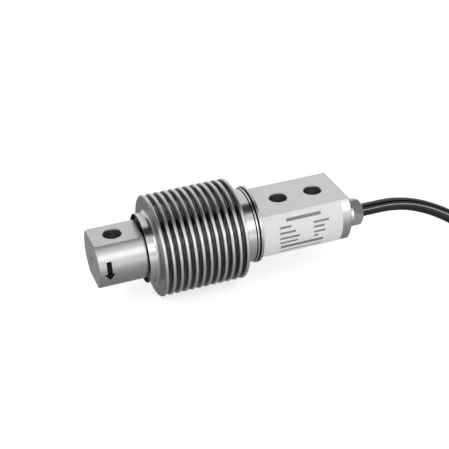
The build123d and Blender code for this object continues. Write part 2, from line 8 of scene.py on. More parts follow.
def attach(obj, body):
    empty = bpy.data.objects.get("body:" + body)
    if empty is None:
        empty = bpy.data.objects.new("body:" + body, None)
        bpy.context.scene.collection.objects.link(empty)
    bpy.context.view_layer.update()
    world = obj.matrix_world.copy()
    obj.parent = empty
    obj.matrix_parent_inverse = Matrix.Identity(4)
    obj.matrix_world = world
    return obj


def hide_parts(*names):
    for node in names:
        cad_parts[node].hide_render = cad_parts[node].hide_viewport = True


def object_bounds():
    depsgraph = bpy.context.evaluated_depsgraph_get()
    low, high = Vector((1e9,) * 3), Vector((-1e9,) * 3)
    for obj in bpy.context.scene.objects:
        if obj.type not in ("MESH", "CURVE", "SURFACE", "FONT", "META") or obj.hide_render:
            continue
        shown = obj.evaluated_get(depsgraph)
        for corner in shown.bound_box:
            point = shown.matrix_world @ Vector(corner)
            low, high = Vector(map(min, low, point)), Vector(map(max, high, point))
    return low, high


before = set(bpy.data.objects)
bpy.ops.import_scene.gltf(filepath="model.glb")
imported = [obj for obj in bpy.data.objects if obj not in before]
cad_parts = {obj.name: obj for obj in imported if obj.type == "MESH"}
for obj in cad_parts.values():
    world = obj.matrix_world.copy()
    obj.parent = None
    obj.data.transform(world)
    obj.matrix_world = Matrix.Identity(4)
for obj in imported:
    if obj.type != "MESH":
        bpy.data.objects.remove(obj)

cad_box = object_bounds()
MM = 0.001


# Camera: a long lens above and to the left of the beam, tilted a little. It frames the load end, the
# bellows and the block, and cuts off the cable.
beam_axis_height = 10.7
camera_turn = radians(-19.36)
camera_height = radians(30.83)
camera_roll = radians(-2.29)
camera_distance = 495.8
aim_point = Vector((-38.68, 0, beam_axis_height))
aim_shift = (-2.94, -2.93)
lens_length = 86.22
sensor_width = 36.0
nearest_seen = 10
farthest_seen = 20000

level_right = Vector((cos(camera_turn), sin(camera_turn), 0))
backward = Vector((sin(camera_turn) * cos(camera_height),
                   -cos(camera_turn) * cos(camera_height),
                   sin(camera_height)))
level_up = backward.cross(level_right)
view_right = level_right * cos(camera_roll) + level_up * sin(camera_roll)
view_up = level_up * cos(camera_roll) - level_right * sin(camera_roll)
eye = (aim_point + backward * camera_distance - view_right * aim_shift[0] - view_up * aim_shift[1]) * MM
camera = bpy.data.objects.new("camera", bpy.data.cameras.new("camera"))
camera.data.lens = lens_length
camera.data.sensor_width = sensor_width
camera.data.clip_start = nearest_seen * MM
camera.data.clip_end = farthest_seen * MM
camera_axes = Matrix((view_right, view_up, backward)).transposed().to_4x4()
camera.matrix_world = Matrix.Translation(eye) @ camera_axes
bpy.context.collection.objects.link(camera)
bpy.context.scene.camera = camera
bpy.context.scene.view_settings.view_transform = "Standard"


# Studio table: white paper that runs out of sight. What the camera and reflections see of it also glows,
# so it shows as plain white, and it still keeps the object's soft shadow.
def colour(hex_value):
    """An sRGB hex value as linear red, green, blue and alpha."""
    shares = [int(hex_value[place:place + 2], 16) / 255 for place in (1, 3, 5)]
    linear = [share / 12.92 if share <= 0.04045 else ((share + 0.055) / 1.055) ** 2.4 for share in shares]
    return [*linear, 1]


def new_material(name):
    """A material that has no nodes yet."""
    material = bpy.data.materials.new(name)
    material.use_nodes = True
    material.node_tree.nodes.clear()
    return material


def add_node(material, kind, settings=None, **links):
    """Add a node, set its properties and sockets, and link its inputs, named or numbered, to outputs. In
    a Mix node input 0 is the share, 2 and 3 are the numbers to mix, or 6 and 7 the colours, and the mix
    comes out at 0 for numbers and at 2 for colours."""
    node = material.node_tree.nodes.new(kind)
    for name, value in (settings or {}).items():
        if hasattr(node, name):
            setattr(node, name, value)
        else:
            node.inputs[int(name) if name.isdigit() else name].default_value = value
    for name, output in links.items():
        socket = node.inputs[int(name[1:]) if name[1:].isdigit() else name.replace("_", " ")]
        material.node_tree.links.new(output, socket)
    return node


def backdrop_rays(material):
    """1 for what the camera, reflections and refractions see, 0 for the light that falls on the object."""
    path = add_node(material, "ShaderNodeLightPath")
    seen = add_node(material, "ShaderNodeMath", {"operation": "MAXIMUM"},
                    _0=path.outputs["Is Camera Ray"], _1=path.outputs["Is Glossy Ray"])
    seen = add_node(material, "ShaderNodeMath", {"operation": "MAXIMUM"},
                    _0=seen.outputs[0], _1=path.outputs["Is Transmission Ray"])
    return seen.outputs[0]


def flat_sheet(name, corners, material):
    """A four-cornered sheet that belongs to the studio and not to the object."""
    mesh = bpy.data.meshes.new(name)
    mesh.from_pydata([Vector(corner) * MM for corner in corners], [], [(0, 1, 2, 3)])
    mesh.materials.append(material)
    made = bpy.data.objects.new(name, mesh)
    bpy.context.collection.objects.link(made)
    return made


table_reach = 5000
table_gap = 0.1
table_height = cad_box[0][2] / MM - table_gap
paper = new_material("white_paper")
paper_matt = add_node(paper, "ShaderNodeBsdfDiffuse", {"Color": colour("#F2F2F2")})
paper_glow = add_node(paper, "ShaderNodeEmission", {"Color": colour("#FFFFFF"), "Strength": 0.6})
paper_both = add_node(paper, "ShaderNodeAddShader", _0=paper_matt.outputs[0], _1=paper_glow.outputs[0])
paper_mix = add_node(paper, "ShaderNodeMixShader",
                     _0=backdrop_rays(paper), _1=paper_matt.outputs[0], _2=paper_both.outputs[0])
add_node(paper, "ShaderNodeOutputMaterial", Surface=paper_mix.outputs[0])
flat_sheet("table", [(x * table_reach, y * table_reach, table_height)
                     for x, y in ((-1, -1), (1, -1), (1, 1), (-1, 1))], paper)


# Studio room: white all round, and dimmer for the light that falls on the object. A broad soft box stands
# behind the camera at its right, with a narrow strip light before it, and a small soft box on the left.
world = bpy.data.worlds.new("white_room")
bpy.context.scene.world = world
world.use_nodes = True
world.node_tree.nodes.clear()
room_dim = add_node(world, "ShaderNodeBackground", {"Color": colour("#FFFFFF"), "Strength": 0.6})
room_white = add_node(world, "ShaderNodeBackground", {"Color": colour("#FFFFFF"), "Strength": 1.0})
room_mix = add_node(world, "ShaderNodeMixShader",
                    _0=backdrop_rays(world), _1=room_dim.outputs[0], _2=room_white.outputs[0])
add_node(world, "ShaderNodeOutputWorld", Surface=room_mix.outputs[0])


def soft_box(name, place, width, height, brightness):
    """A lamp with an even face of this brightness, where the white of the room is 1."""
    lamp = bpy.data.lights.new(name, "AREA")
    lamp.shape = "RECTANGLE"
    lamp.size = width * MM
    lamp.size_y = height * MM
    lamp.energy = brightness * pi * lamp.size * lamp.size_y
    made = bpy.data.objects.new(name, lamp)
    made.location = Vector(place) * MM
    made.rotation_euler = (aim_point - Vector(place)).to_track_quat("-Z", "Y").to_euler()
    bpy.context.collection.objects.link(made)


soft_box("front_box", place=(60, -800, 400), width=1100, height=420, brightness=0.98)
soft_box("strip_light", place=(60, -760, 370), width=1300, height=60, brightness=0.8)
soft_box("left_box", place=(-800, -350, 450), width=400, height=400, brightness=2.0)


# Cards: sheets that only reflections see, for the dark parts that polished metal shows. A black one hangs
# over the beam, and a dark grey one behind it at the left. A graded one lies before the beam, darkest next
# to it as a painted shadow of the beam, and an even grey one behind. A thin bright one draws the stripe
# along the cable's sheath.
def card_colour(name, hex_value, brightness=1.0):
    """A card with an even face of this colour and brightness, where the white of the room is 1."""
    card = new_material(name)
    face = add_node(card, "ShaderNodeEmission", {"Color": colour(hex_value), "Strength": brightness})
    add_node(card, "ShaderNodeOutputMaterial", Surface=face.outputs[0])
    return card


def reflected_card(name, corners, material):
    """A sheet that only reflections see, and that casts no shadow."""
    card = flat_sheet(name, corners, material)
    card.visible_camera = False
    card.visible_diffuse = False
    card.visible_transmission = False
    card.visible_volume_scatter = False
    card.visible_shadow = False


card_reach = 900
card_distance = 450


def card_edge(angle):
    """Where a hung card's edge is across the beam and in height, at this angle up from the front."""
    return -card_distance * cos(angle), beam_axis_height + card_distance * sin(angle)


near_edge = card_edge(radians(64))
top_edge = card_edge(radians(97))
reflected_card("hung_card", [(-card_reach, *near_edge), (card_reach, *near_edge),
                             (card_reach, *top_edge), (-card_reach, *top_edge)],
               card_colour("black_card", "#303030"))

left_card_start = -1500
left_card_end = -60
far_edge = card_edge(radians(138))
reflected_card("left_card", [(left_card_start, *top_edge), (left_card_end, *top_edge),
                             (left_card_end, *far_edge), (left_card_start, *far_edge)],
               card_colour("dark_grey_card", "#606060"))

card_lift = 0.05
card_height = table_height + card_lift
front_card_reach = 120
front_card_shadow_reach = 12
front_card = new_material("graded_grey_card")
front_card_place = add_node(front_card, "ShaderNodeSeparateXYZ",
                            _0=add_node(front_card, "ShaderNodeTexCoord").outputs["Object"])
# The card is painted darker near the beam, as a painted shadow of the beam that reflections see.
front_card_shadow_grade = add_node(front_card, "ShaderNodeMapRange",
                            {"From Min": -front_card_shadow_reach * MM, "From Max": -front_card_reach * MM,
                             "To Min": 0.3, "To Max": 1.0}, Value=front_card_place.outputs["Y"])
front_card_face = add_node(front_card, "ShaderNodeEmission", {"Color": colour("#FFFFFF")},
                           Strength=front_card_shadow_grade.outputs[0])
add_node(front_card, "ShaderNodeOutputMaterial", Surface=front_card_face.outputs[0])
reflected_card("front_card", [(-card_reach, -front_card_reach, card_height),
                              (card_reach, -front_card_reach, card_height),
                              (card_reach, 0, card_height),
                              (-card_reach, 0, card_height)], front_card)

back_card_reach = 260
reflected_card("back_card", [(-card_reach, 0, card_height),
                             (card_reach, 0, card_height),
                             (card_reach, back_card_reach, card_height),
                             (-card_reach, back_card_reach, card_height)],
               card_colour("even_grey_card", "#A4A4A4"))

stripe_start = 44
stripe_end = 260
stripe_y = -60
stripe_low = 25
stripe_high = 33
reflected_card("stripe_card", [(stripe_start, stripe_y, stripe_low), (stripe_end, stripe_y, stripe_low),
                               (stripe_end, stripe_y, stripe_high), (stripe_start, stripe_y, stripe_high)],
               card_colour("bright_stripe_card", "#FFFFFF", brightness=14.0))


# Beam: one bar of age-hardened stainless steel, which bends at its narrow middle, under the bellows. Its
# round parts are turned on a lathe, its four flats are ground and its holes are drilled.
def dress(names, material):
    """Give these pieces of the frame a material."""
    for name in names:
        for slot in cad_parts[name].material_slots:
            slot.material = material


def ring_marks(material, feed):
    """Places along the beam and away from its axis, and noise in rings this far apart round the axis, as
    a turning tool leaves them."""
    place = add_node(material, "ShaderNodeTexCoord").outputs["Object"]
    across = add_node(material, "ShaderNodeMapping",
                      {"Location": (0, 0, -beam_axis_height * MM), "Scale": (0, 1, 1)}, Vector=place)
    away = add_node(material, "ShaderNodeVectorMath", {"operation": "LENGTH"}, _0=across.outputs[0])
    along = add_node(material, "ShaderNodeSeparateXYZ", _0=place)
    way = add_node(material, "ShaderNodeMath", {"operation": "ADD"},
                   _0=away.outputs["Value"], _1=along.outputs["X"])
    rings = add_node(material, "ShaderNodeTexNoise",
                     {"noise_dimensions": "1D", "Scale": 1 / (feed * MM), "Detail": 3.0}, W=way.outputs[0])
    return along.outputs["X"], away.outputs["Value"], rings.outputs[0]


load_end_rear = -76.35
seat_face = -74.9
hole_places = (-88.38, -8.7, 8.7)
hole_reach = 4.35
centre_drill_reach = 1.05
edge_radius = 0.22
# A face is one of the ground flats where its normal's share along Z is more than this.
flat_tilt = 0.999
# Turned steel shows fine rings and a bright band along it, and ground steel is even and more matt. The
# marks of both are about 0.05 mm apart, too fine to show. The turned rings are drawn seven times as wide
# and the grinding streaks six times. Faint clouds, where the steel was wiped, are a few millimetres wide.
turning_feed = 0.35
grinding_width = 0.3
grinding_length = 12
cloud_width = 5
mark_depth = 0.004
round_roughness = 0.3
flat_roughness = 0.42
steel = new_material("turned_and_ground_stainless")
steel_along, steel_away, steel_rings = ring_marks(steel, turning_feed)
steel_place = add_node(steel, "ShaderNodeTexCoord").outputs["Object"]
steel_scaled = add_node(steel, "ShaderNodeMapping",
                        {"Scale": (1 / (grinding_length * MM), 1 / (grinding_width * MM), 1)},
                        Vector=steel_place)
steel_ground = add_node(steel, "ShaderNodeTexNoise", {"Scale": 1.0, "Detail": 3.0},
                        Vector=steel_scaled.outputs[0])
steel_clouds = add_node(steel, "ShaderNodeTexNoise", {"Scale": 1 / (cloud_width * MM), "Detail": 3.0},
                        Vector=steel_place)
steel_tilt = add_node(steel, "ShaderNodeSeparateXYZ",
                      _0=add_node(steel, "ShaderNodeNewGeometry").outputs["True Normal"])
steel_level = add_node(steel, "ShaderNodeMath", {"operation": "ABSOLUTE"}, _0=steel_tilt.outputs["Z"])
on_flat = add_node(steel, "ShaderNodeMath", {"operation": "GREATER_THAN", "1": flat_tilt},
                   _0=steel_level.outputs[0])
steel_marks = add_node(steel, "ShaderNodeMix",
                       _0=on_flat.outputs[0], _2=steel_rings, _3=steel_ground.outputs["Fac"])
flat_or_round = add_node(steel, "ShaderNodeMix",
                         {"data_type": "RGBA", "6": colour("#C6C6C5"), "7": colour("#D9D9D8")},
                         _0=on_flat.outputs[0])
steel_cloudy = add_node(steel, "ShaderNodeMix",
                        {"data_type": "RGBA", "6": colour("#F4F4F4"), "7": colour("#FFFFFF")},
                        _0=steel_clouds.outputs["Fac"])
steel_marked = add_node(steel, "ShaderNodeMix",
                        {"data_type": "RGBA", "6": colour("#EFEFEF"), "7": colour("#FFFFFF")},
                        _0=steel_marks.outputs[0])
steel_shade = add_node(steel, "ShaderNodeMix", {"data_type": "RGBA", "blend_type": "MULTIPLY", "0": 1.0},
                       _6=flat_or_round.outputs[2], _7=steel_cloudy.outputs[2])
steel_shade = add_node(steel, "ShaderNodeMix", {"data_type": "RGBA", "blend_type": "MULTIPLY", "0": 1.0},
                       _6=steel_shade.outputs[2], _7=steel_marked.outputs[2])
# The holes' walls are painted a little darker than the flats, partly for the drilled finish and partly as
# painted shade inside the holes.
drilled_masks = []
for hole_x in hole_places:
    from_hole = add_node(steel, "ShaderNodeMapping", {"Location": (-hole_x * MM, 0, 0), "Scale": (1, 1, 0)},
                         Vector=steel_place)
    hole_away = add_node(steel, "ShaderNodeVectorMath", {"operation": "LENGTH"}, _0=from_hole.outputs[0])
    in_hole = add_node(steel, "ShaderNodeMath", {"operation": "LESS_THAN", "1": hole_reach * MM},
                       _0=hole_away.outputs["Value"])
    drilled_masks.append(in_hole.outputs[0])
drilled_and_shaded = add_node(steel, "ShaderNodeMath", {"operation": "MAXIMUM"},
                   _0=drilled_masks[0], _1=drilled_masks[1])
drilled_and_shaded = add_node(steel, "ShaderNodeMath", {"operation": "MAXIMUM"},
                   _0=drilled_and_shaded.outputs[0], _1=drilled_masks[2])
steel_shade = add_node(steel, "ShaderNodeMix", {"data_type": "RGBA", "7": colour("#C4C3C0")},
                       _0=drilled_and_shaded.outputs[0], _6=steel_shade.outputs[2])
# The neck between the load end and the front weld, a narrow recess, and the centre drilling in the end
# face are painted near-black, as painted shade in these hollows.
neck_middle = (load_end_rear + seat_face) / 2 * MM
neck_half = (seat_face - load_end_rear) / 2 * MM
on_neck = add_node(steel, "ShaderNodeMath", {"operation": "COMPARE", "1": neck_middle, "2": neck_half},
                   _0=steel_along)
in_centre_drilling = add_node(steel, "ShaderNodeMath",
                              {"operation": "LESS_THAN", "1": centre_drill_reach * MM}, _0=steel_away)
painted_hollow_shade = add_node(steel, "ShaderNodeMath", {"operation": "MAXIMUM"},
                     _0=on_neck.outputs[0], _1=in_centre_drilling.outputs[0])
steel_shade = add_node(steel, "ShaderNodeMix", {"data_type": "RGBA", "7": colour("#2E2D2B")},
                       _0=painted_hollow_shade.outputs[0], _6=steel_shade.outputs[2])
steel_dullness = add_node(steel, "ShaderNodeMix", {"2": round_roughness, "3": flat_roughness},
                          _0=on_flat.outputs[0])
# The edges are broken by about 0.2 mm, which draws a fine line along each.
broken_edge = add_node(steel, "ShaderNodeBevel", {"samples": 6, "Radius": edge_radius * MM})
steel_raised = add_node(steel, "ShaderNodeBump", {"Distance": mark_depth * MM},
                        Height=steel_marks.outputs[0], Normal=broken_edge.outputs[0])
steel_face = add_node(steel, "ShaderNodeBsdfPrincipled", {"Metallic": 1.0},
                      Base_Color=steel_shade.outputs[2], Roughness=steel_dullness.outputs[0],
                      Normal=steel_raised.outputs[0])
add_node(steel, "ShaderNodeOutputMaterial", Surface=steel_face.outputs[0])
dress(["beam_body"], steel)


# Loading arrow: black oxide etched into the load end's side, to show which way the load acts. It is so
# thin that it only colours the steel, and it is matt black. Its pits are about 0.05 mm wide and are drawn
# twelve times as wide.
def curved_patch(name, outline, radius, material, steps):
    """A thin patch on the -Y side of a round surface about the beam's axis. Each row of its outline is
    (left end, right end, height along the arc), and the patch is filled from row to row."""
    places = []
    faces = []
    for low, high in zip(outline, outline[1:]):
        first = len(places)
        for step in range(steps + 1):
            left, right, height = [start + (end - start) * step / steps for start, end in zip(low, high)]
            around = height / radius
            across = -radius * cos(around)
            up = beam_axis_height + radius * sin(around)
            places += [(left, across, up), (right, across, up)]
        faces += [(corner, corner + 1, corner + 3, corner + 2)
                  for corner in range(first, first + 2 * steps, 2)]
    mesh = bpy.data.meshes.new(name)
    mesh.from_pydata([Vector(place) * MM for place in places], [], faces)
    mesh.materials.append(material)
    mesh.shade_smooth()
    made = bpy.data.objects.new(name, mesh)
    bpy.context.collection.objects.link(made)
    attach(made, "root")
    return made


def speckled_finish(name, shades, speckle, roughness, relief, settings):
    """A material whose shade, dullness and height vary over speckles of this size along X, Y and Z."""
    material = new_material(name)
    place = add_node(material, "ShaderNodeTexCoord").outputs["Object"]
    scaled = add_node(material, "ShaderNodeMapping", {"Scale": [1 / (size * MM) for size in speckle]},
                      Vector=place)
    spots = add_node(material, "ShaderNodeTexNoise", {"Scale": 1.0, "Detail": 5.0},
                     Vector=scaled.outputs[0])
    spread = add_node(material, "ShaderNodeMapRange", {"From Min": 0.3, "From Max": 0.7},
                      Value=spots.outputs["Fac"])
    shade = add_node(material, "ShaderNodeMix",
                     {"data_type": "RGBA", "6": colour(shades[0]), "7": colour(shades[1])},
                     _0=spread.outputs[0])
    dullness = add_node(material, "ShaderNodeMix", {"2": roughness[0], "3": roughness[1]},
                        _0=spread.outputs[0])
    raised = add_node(material, "ShaderNodeBump", {"Distance": relief * MM}, Height=spread.outputs[0])
    face = add_node(material, "ShaderNodeBsdfPrincipled", settings, Base_Color=shade.outputs[2],
                    Roughness=dullness.outputs[0], Normal=raised.outputs[0])
    add_node(material, "ShaderNodeOutputMaterial", Surface=face.outputs[0])
    return material


arrow_x = -93.85
arrow_half_point = 0.02
arrow_half_shaft = 1.15
arrow_half_head = 2.5
arrow_tip = -4.8
arrow_shoulder = -1.2
arrow_top = 4.7
etched_radius = 13.52
black_oxide = speckled_finish("etched_black_oxide", shades=("#060606", "#141414"), speckle=(0.6, 0.6, 0.6),
                              roughness=(0.6, 0.8), relief=0.002, settings={"IOR": 1.2})
arrow_rows = [(arrow_half_point, arrow_tip), (arrow_half_head, arrow_shoulder),
              (arrow_half_shaft, arrow_shoulder), (arrow_half_shaft, arrow_top)]
arrow_outline = [(arrow_x - half, arrow_x + half, height) for half, height in arrow_rows]
load_arrow = curved_patch("load_arrow", arrow_outline, etched_radius, black_oxide, steps=14)


# Strain gauges: etched foil on clear amber polyimide film, glued over the thin webs, where the beam bends
# most. The foil's lines run along the beam and show as fine streaks. They are 0.05 mm wide and are drawn
# five times as wide.
film = speckled_finish("amber_polyimide_film", shades=("#8A5A1E", "#C8872C"), speckle=(20, 0.25, 20),
                       roughness=(0.2, 0.35), relief=0.004, settings={"IOR": 1.7, "Coat Weight": 0.4})
dress([f"gauge_{side}_{end}" for side in ("top", "bottom") for end in ("front", "rear")], film)

# Gauge leads and bridge wires: drawn copper under clear red-brown enamel, soldered to the gauges and led
# to the board and the feedthrough. The enamel shines over faint streaks, which are 0.04 mm wide and are
# drawn ten times as wide.
enamel = speckled_finish("enamelled_copper_wire", shades=("#8F4A22", "#B4683A"), speckle=(2, 0.4, 0.4),
                         roughness=(0.22, 0.34), relief=0.002,
                         settings={"Metallic": 1.0, "Coat Weight": 0.5})
dress([f"leads_{side}_{end}" for side in ("top", "bottom") for end in ("front", "rear")], enamel)
dress(["bridge_wires"], enamel)

# Terminal board: glass-fibre laminate under green lacquer, glued into the beam's side pocket. The weave
# shows through the lacquer as small squares. Its threads are 0.4 mm wide and are drawn twice as wide.
weave_width = 0.8
weave_depth = 0.01
laminate = new_material("green_lacquered_laminate")
laminate_place = add_node(laminate, "ShaderNodeTexCoord").outputs["Object"]
weave = add_node(laminate, "ShaderNodeTexBrick",
                 {"Scale": 1 / (weave_width * MM), "Brick Width": 1.0, "Row Height": 1.0,
                  "Mortar Size": 0.04, "Color1": colour("#1D5A2C"), "Color2": colour("#24683A"),
                  "Mortar": colour("#174A24")},
                 Vector=laminate_place)
weave_raised = add_node(laminate, "ShaderNodeBump", {"Distance": weave_depth * MM},
                        Height=weave.outputs["Fac"])
lacquer = add_node(laminate, "ShaderNodeBsdfPrincipled", {"IOR": 1.5, "Coat Weight": 0.3, "Roughness": 0.4},
                   Base_Color=weave.outputs["Color"], Normal=weave_raised.outputs[0])
add_node(laminate, "ShaderNodeOutputMaterial", Surface=lacquer.outputs[0])
dress(["terminal_board"], laminate)

# Compensation resistors: fired ceramic chips under a dark glaze, soldered to the board. The glaze is half
# glossy, with specks 0.1 mm wide that are drawn twice as wide.
glaze = speckled_finish("dark_resistor_glaze", shades=("#151517", "#26262A"), speckle=(0.2, 0.2, 0.2),
                        roughness=(0.3, 0.45), relief=0.004, settings={"IOR": 1.5})
dress(["span_resistor", "zero_resistor"], glaze)


# Feedthrough: a bead of sealing glass fused into a turned stainless ring, round four gold-plated pins. It
# closes the beam's long bore. The glass is dark, glossy and faintly clouded, and the ring and the pins are
# bright.
turned_roughness = 0.25
shaded_roughness = 0.5
turned_depth = 0.003


def turned_finish(name, shades, shade_radius):
    """Turned stainless in these two shades, with rings as wide as the beam's. Nearer the beam's axis than
    this radius it is painted near-black, as painted shade, and more matt."""
    material = new_material(name)
    away, rings = ring_marks(material, turning_feed)[1:]
    shade = add_node(material, "ShaderNodeMix",
                     {"data_type": "RGBA", "6": colour(shades[0]), "7": colour(shades[1])}, _0=rings)
    # Nearer the axis than this radius the colour is painted near-black, as painted shade.
    scaled = add_node(material, "ShaderNodeMath",
                      {"operation": "LESS_THAN", "1": shade_radius * MM}, _0=away)
    shade = add_node(material, "ShaderNodeMix", {"data_type": "RGBA", "7": colour("#2E2D2B")},
                     _0=scaled.outputs[0], _6=shade.outputs[2])
    dullness = add_node(material, "ShaderNodeMix", {"2": turned_roughness, "3": shaded_roughness},
                        _0=scaled.outputs[0])
    raised = add_node(material, "ShaderNodeBump", {"Distance": turned_depth * MM}, Height=rings)
    face = add_node(material, "ShaderNodeBsdfPrincipled", {"Metallic": 1.0}, Base_Color=shade.outputs[2],
                    Roughness=dullness.outputs[0], Normal=raised.outputs[0])
    add_node(material, "ShaderNodeOutputMaterial", Surface=face.outputs[0])
    return material


dress(["feedthrough_ring"],
      turned_finish("turned_stainless_ring", shades=("#A09F9C", "#B4B3B0"), shade_radius=0))
bead = speckled_finish("fused_sealing_glass", shades=("#2C4A3E", "#3C5C4C"), speckle=(0.8, 0.8, 0.8),
                       roughness=(0.06, 0.14), relief=0.003, settings={"IOR": 1.52})
dress(["feedthrough_glass"], bead)
# The pins' turning rings are 0.05 mm apart and are drawn twice as wide.
gold = speckled_finish("gold_plated_pin", shades=("#D0A24A", "#E0B860"), speckle=(0.1, 2, 2),
                       roughness=(0.2, 0.3), relief=0.001, settings={"Metallic": 1.0})
dress(["feedthrough_pins"], gold)

# Weld rings: turned stainless rings, welded between the beam's seats and the bellows' cuffs. The front one
# and the grooves of the rear one are painted near-black and matt, as painted shade in the recesses round
# the welds, and the rear one's rim is bright.
dress(["front_weld_ring"],
      turned_finish("shade_painted_ring", shades=("#A09F9C", "#B4B3B0"), shade_radius=20))
dress(["rear_weld_ring"],
      turned_finish("grooved_stainless_ring", shades=("#C0BFBC", "#D4D3D0"), shade_radius=17.3))

# Bellows: 0.3 mm stainless sheet, rolled into twelve deep folds, with a cuff at each end that is welded to
# its ring. Its colour holds painted light: the cuffs and the crests are painted lightest, as painted
# highlight, the folds' sides and the front cuff's flare darker, as painted shade, and the valleys a little
# lighter than the sides. The cuffs are the glossiest, the crests a little softer and the sides duller. The
# valleys are glossy and look dark, because they mirror the shaded sides next to them.
cuff_inner_radius = 15.85
cuff_outer_radius = 16.2
flare_radius = 17.0
rear_cuff_x = -31.0
crest_radius = 23.45
side_radius = 23.1
valley_top_radius = 22.2
valley_floor_radius = 19.5
first_crest_x = -70.72
last_crest_x = -32.66
cuff_roughness = 0.21
crest_roughness = 0.28
side_roughness = 0.36
valley_roughness = 0.13
# The rolls' marks are about 0.05 mm apart and are drawn five times as wide.
rolling_feed = 0.25
rolled_depth = 0.0015
sheet_steel = new_material("rolled_stainless_sheet")
sheet_along, sheet_away, sheet_rings = ring_marks(sheet_steel, rolling_feed)
on_crest = add_node(sheet_steel, "ShaderNodeMapRange",
                    {"interpolation_type": "SMOOTHSTEP",
                     "From Min": side_radius * MM, "From Max": crest_radius * MM}, Value=sheet_away)
on_front_cuff = add_node(sheet_steel, "ShaderNodeMapRange",
                         {"interpolation_type": "SMOOTHSTEP",
                          "From Min": cuff_outer_radius * MM, "From Max": flare_radius * MM,
                          "To Min": 1.0, "To Max": 0.0}, Value=sheet_away)
on_rear_cuff = add_node(sheet_steel, "ShaderNodeMath", {"operation": "GREATER_THAN", "1": rear_cuff_x * MM},
                        _0=sheet_along)
on_cuff = add_node(sheet_steel, "ShaderNodeMath", {"operation": "MAXIMUM"},
                   _0=on_front_cuff.outputs[0], _1=on_rear_cuff.outputs[0])
painted_highlight_part = add_node(sheet_steel, "ShaderNodeMath", {"operation": "MAXIMUM"},
                       _0=on_cuff.outputs[0], _1=on_crest.outputs[0])
folds_middle = (first_crest_x + last_crest_x) / 2 * MM
folds_half = (last_crest_x - first_crest_x) / 2 * MM
in_folds = add_node(sheet_steel, "ShaderNodeMath",
                    {"operation": "COMPARE", "1": folds_middle, "2": folds_half}, _0=sheet_along)
deep = add_node(sheet_steel, "ShaderNodeMapRange",
                {"interpolation_type": "SMOOTHSTEP",
                 "From Min": valley_floor_radius * MM, "From Max": valley_top_radius * MM,
                 "To Min": 1.0, "To Max": 0.0}, Value=sheet_away)
in_valley = add_node(sheet_steel, "ShaderNodeMath", {"operation": "MULTIPLY"},
                     _0=in_folds.outputs[0], _1=deep.outputs[0])
shaded_inside_cuff = add_node(sheet_steel, "ShaderNodeMath", {"operation": "LESS_THAN", "1": cuff_inner_radius * MM},
                   _0=sheet_away)
# The sheet's colour is painted: lighter on the cuffs and crests as painted highlight, darker on the folds'
# sides and the front cuff's flare as painted shade.
sheet_shade = add_node(sheet_steel, "ShaderNodeMix",
                       {"data_type": "RGBA", "6": colour("#A2A2A0"), "7": colour("#B0B0AE")},
                       _0=in_valley.outputs[0])
sheet_shade = add_node(sheet_steel, "ShaderNodeMix", {"data_type": "RGBA", "7": colour("#CECECC")},
                       _0=painted_highlight_part.outputs[0], _6=sheet_shade.outputs[2])
# Inside the front cuff the sheet is painted near-black, as painted shade in the recess.
sheet_shade = add_node(sheet_steel, "ShaderNodeMix", {"data_type": "RGBA", "7": colour("#2E2D2B")},
                       _0=shaded_inside_cuff.outputs[0], _6=sheet_shade.outputs[2])
sheet_streaks = add_node(sheet_steel, "ShaderNodeMix",
                         {"data_type": "RGBA", "6": colour("#EAEAEA"), "7": colour("#FFFFFF")},
                         _0=sheet_rings)
sheet_shade = add_node(sheet_steel, "ShaderNodeMix",
                       {"data_type": "RGBA", "blend_type": "MULTIPLY", "0": 1.0},
                       _6=sheet_shade.outputs[2], _7=sheet_streaks.outputs[2])
sheet_dullness = add_node(sheet_steel, "ShaderNodeMix", {"2": side_roughness, "3": valley_roughness},
                          _0=in_valley.outputs[0])
sheet_dullness = add_node(sheet_steel, "ShaderNodeMix", {"3": crest_roughness},
                          _0=on_crest.outputs[0], _2=sheet_dullness.outputs[0])
sheet_dullness = add_node(sheet_steel, "ShaderNodeMix", {"3": cuff_roughness},
                          _0=on_cuff.outputs[0], _2=sheet_dullness.outputs[0])
sheet_raised = add_node(sheet_steel, "ShaderNodeBump", {"Distance": rolled_depth * MM}, Height=sheet_rings)
sheet_face = add_node(sheet_steel, "ShaderNodeBsdfPrincipled", {"Metallic": 1.0},
                      Base_Color=sheet_shade.outputs[2], Roughness=sheet_dullness.outputs[0],
                      Normal=sheet_raised.outputs[0])
add_node(sheet_steel, "ShaderNodeOutputMaterial", Surface=sheet_face.outputs[0])
dress(["bellows"], sheet_steel)

# Gland: a round collar with a stem that screws into the block, and a hexagon nut that squeezes the seal on
# the cable. Both are turned from brass, as the thrust washer is, and plated with satin nickel, which is
# silky. The turned rings under the plating are 0.1 mm apart and are drawn five times as wide.
nickel = speckled_finish("satin_nickel_plate", shades=("#BAB9B7", "#C8C7C5"), speckle=(0.5, 4, 4),
                         roughness=(0.26, 0.34), relief=0.004, settings={"Metallic": 1.0})
dress(["gland_body", "gland_nut", "gland_thrust_washer"], nickel)

# Gland seal and O-ring: moulded black nitrile rubber, pressed in place by the nut and the collar. It is
# matt. The grain of the mould is 0.1 mm wide and is drawn three times as wide.
rubber = speckled_finish("black_nitrile_rubber", shades=("#161616", "#202020"), speckle=(0.3, 0.3, 0.3),
                         roughness=(0.6, 0.75), relief=0.01, settings={"IOR": 1.52})
dress(["gland_seal", "gland_o_ring"], rubber)

# Cable: 3 m of round black polyurethane sheath, 6.2 mm across, held by the gland. It leaves the gland
# straight, sinks to the table and is put away in a flat two-wide winding.
cable_radius = 3.1
hank_left_x = 130.9
hank_right_x = 196.9
hank_middle_y = -2.0
hank_outer = 24.8
hank_inner = 18.6
strand_low = -8.64
strand_high = 25.46
outer_turns = 5.5
inner_turns = 5
turns_to_move_in = 0.25
steps_per_turn = 20

cable_points = [
    (15.3, -9.4, 10.7),
    (30.2, -9.4, 10.7),
    (50.2, -9.6, 10.6),
    (68.0, -13.8, 4.6),
    (82.6, -22.6, -4.6),
    (98.6, -26.8, strand_low),
    (112.9, -26.8, strand_low),
]


